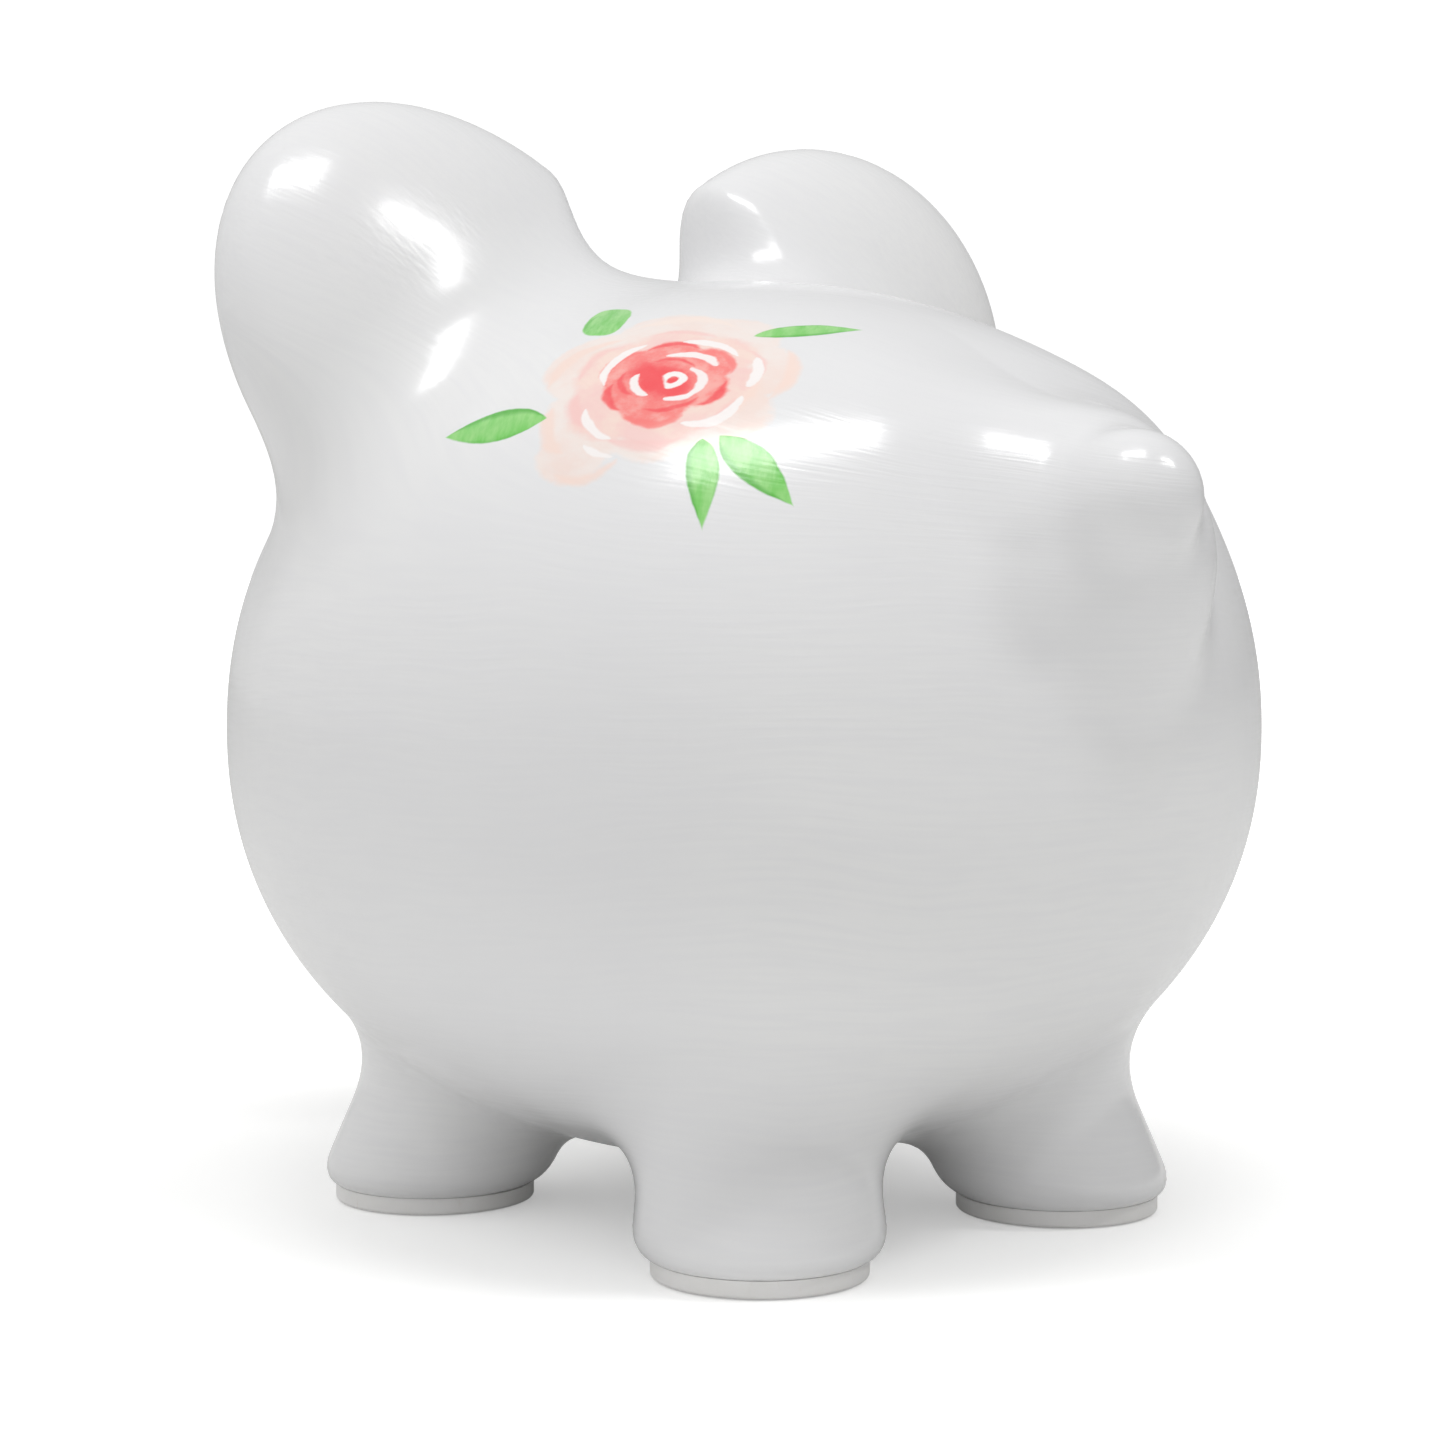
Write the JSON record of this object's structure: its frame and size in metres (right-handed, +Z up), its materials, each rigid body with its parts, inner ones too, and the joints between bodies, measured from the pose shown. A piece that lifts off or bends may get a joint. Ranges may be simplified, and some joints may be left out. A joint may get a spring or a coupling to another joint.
{
  "type": "piggy bank",
  "caption": "Round glazed ceramic pig money box on four splayed feet, with upright ears, a stub snout, a curled tail, a coin slot on the crown and a pull-out stopper under the belly.",
  "frame": {"origin": "on the floor under the middle of the body, midway between the front of the snout and the tip of the tail", "axes": "+Z up; the snout looks along -Y; +X is the pig's own left"},
  "size_m": [0.1884, 0.215, 0.1975],
  "materials": {
    "glaze": "glossy white glaze over brushed slip, with a hand-painted rose and leaves on each shoulder",
    "pad_rubber": "soft matte white",
    "stopper_vinyl": "satin translucent white"
  },
  "bodies": {
    "pig": {"body_left_half": "glaze", "body_right_half": "glaze", "snout": "glaze", "tail": "glaze", "ear_left": "glaze", "ear_right": "glaze", "leg_rear_left": "glaze", "leg_rear_right": "glaze", "leg_front_left": "glaze", "leg_front_right": "glaze", "pad_rear_left": "pad_rubber", "pad_rear_right": "pad_rubber", "pad_front_left": "pad_rubber", "pad_front_right": "pad_rubber"},
    "stopper": {"stopper": "stopper_vinyl"}
  },
  "joints": [
    {"name": "stopper_pull", "type": "slide", "parent": "pig", "child": "stopper", "axis": [0, 0, -1], "range_m": [0, 0.009]}
  ]
}
